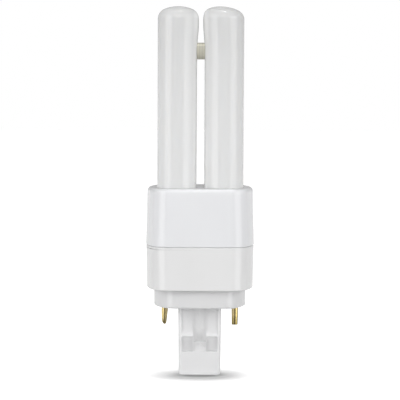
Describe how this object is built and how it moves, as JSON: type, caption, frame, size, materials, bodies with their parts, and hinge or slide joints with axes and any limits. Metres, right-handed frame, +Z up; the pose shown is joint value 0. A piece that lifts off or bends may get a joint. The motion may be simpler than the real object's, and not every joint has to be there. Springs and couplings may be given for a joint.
{
  "type": "led plug-in lamp",
  "caption": "Plug-in LED lamp: upright opal tubes with domed ends on a square white housing, with a latching plug post and brass contact pins below.",
  "frame": {"origin": "middle of the plug post's foot", "axes": "+Z up from the plug post to the tubes' domed ends, -Y is the front, pins lie along X"},
  "size_m": [0.0356, 0.0356, 0.1205],
  "materials": {
    "opal_tube": "opal, satin gloss",
    "cream_link": "cream, satin gloss",
    "upper_white": "moulded, fine satin, cool white",
    "lower_white": "moulded, fine satin, neutral white",
    "base_white": "moulded, fine satin white",
    "pin_brass": "drawn brass, satin",
    "white_board": "white solder mask",
    "led_yellow": "phosphor in a white package",
    "green_board": "green solder mask",
    "black_case": "moulded epoxy",
    "can_sleeve": "shrink sleeve",
    "film_case": "moulded case",
    "ferrite": "sintered",
    "copper_wire": "enamelled copper",
    "resistor_coat": "coated",
    "pin_lead": "insulated wire",
    "red_lead": "insulated wire",
    "black_lead": "insulated wire"
  },
  "bodies": {
    "root": {"front_left_tube": "opal_tube", "front_right_tube": "opal_tube", "rear_left_tube": "opal_tube", "rear_right_tube": "opal_tube", "front_tube_link": "cream_link", "rear_tube_link": "cream_link", "upper_shell": "upper_white", "lower_shell": "lower_white", "plug_base": "base_white", "left_contact_pin": "pin_brass", "right_contact_pin": "pin_brass", "front_left_led_strip": "white_board", "front_right_led_strip": "white_board", "rear_left_led_strip": "white_board", "rear_right_led_strip": "white_board", "junction_board": "white_board", "front_left_leds": "led_yellow", "front_right_leds": "led_yellow", "rear_left_leds": "led_yellow", "rear_right_leds": "led_yellow", "driver_board": "green_board", "bridge_rectifier": "black_case", "driver_chip": "black_case", "bulk_capacitor": "can_sleeve", "output_capacitor": "can_sleeve", "film_capacitor": "film_case", "choke_core": "ferrite", "choke_winding": "copper_wire", "fuse_resistor": "resistor_coat", "left_pin_lead": "pin_lead", "right_pin_lead": "pin_lead", "positive_led_lead": "red_lead", "negative_led_lead": "black_lead"}
  },
  "joints": []
}
